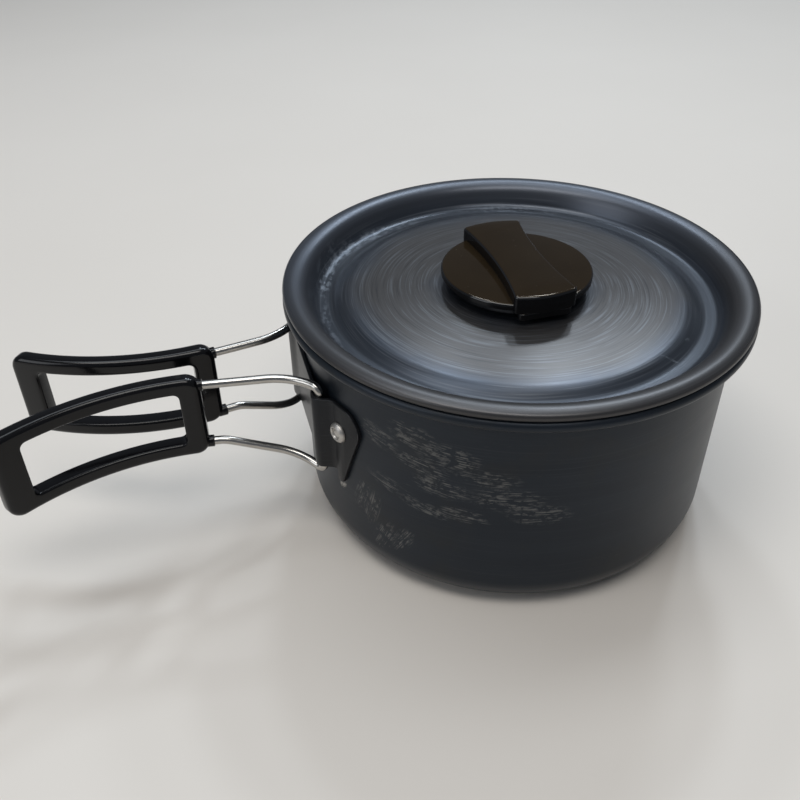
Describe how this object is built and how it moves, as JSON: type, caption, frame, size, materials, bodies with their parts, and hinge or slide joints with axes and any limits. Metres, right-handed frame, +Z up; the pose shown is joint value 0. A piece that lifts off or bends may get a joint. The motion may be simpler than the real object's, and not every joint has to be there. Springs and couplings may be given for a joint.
{
  "type": "camping cook pot with lid",
  "caption": "Hard-anodised camping cook pot with a rolled rim, a groove-rimmed lid with a knob, and folding wire handles with plastic grips on a riveted bracket.",
  "frame": {"origin": "centre of the pot's flat base, on the pot axis", "axes": "+Z up along the pot axis; the handle bracket and the open handles point along -X; the front handle is on the -Y side"},
  "size_m": [0.2647, 0.166, 0.0968],
  "materials": {
    "pot_anodised": "dark hard-anodised, satin",
    "lid_anodised": "dark hard-anodised, spun, satin",
    "bracket_anodised": "dark anodised, satin",
    "knob_plastic": "glossy black",
    "grip_plastic": "glossy black",
    "handle_wire_steel": "polished stainless",
    "rivet_aluminium": "bare, slightly scuffed",
    "fastener_steel": "plain steel"
  },
  "bodies": {
    "pot": {"pot_body": "pot_anodised", "handle_bracket": "bracket_anodised", "bracket_rivets": "rivet_aluminium", "rivet_washers": "rivet_aluminium"},
    "lid": {"lid_shell": "lid_anodised", "knob_cap": "knob_plastic", "knob_base": "knob_plastic", "knob_screw": "fastener_steel", "knob_washer": "fastener_steel"},
    "front_handle": {"front_handle_wire": "handle_wire_steel", "front_handle_grip": "grip_plastic"},
    "rear_handle": {"rear_handle_wire": "handle_wire_steel", "rear_handle_grip": "grip_plastic"}
  },
  "joints": [
    {"name": "lid_lift", "type": "slide", "parent": "pot", "child": "lid", "axis": [0, 0, 1], "range_m": [0, 0.12]},
    {"name": "front_handle_fold", "type": "hinge", "parent": "pot", "child": "front_handle", "pos_m": [-0.077, -0.02208, 0.0525], "axis": [0, 0, 1], "range_deg": [-5, 130]},
    {"name": "rear_handle_fold", "type": "hinge", "parent": "pot", "child": "rear_handle", "pos_m": [-0.077, 0.02208, 0.0525], "axis": [0, 0, -1], "range_deg": [-5, 130]}
  ]
}
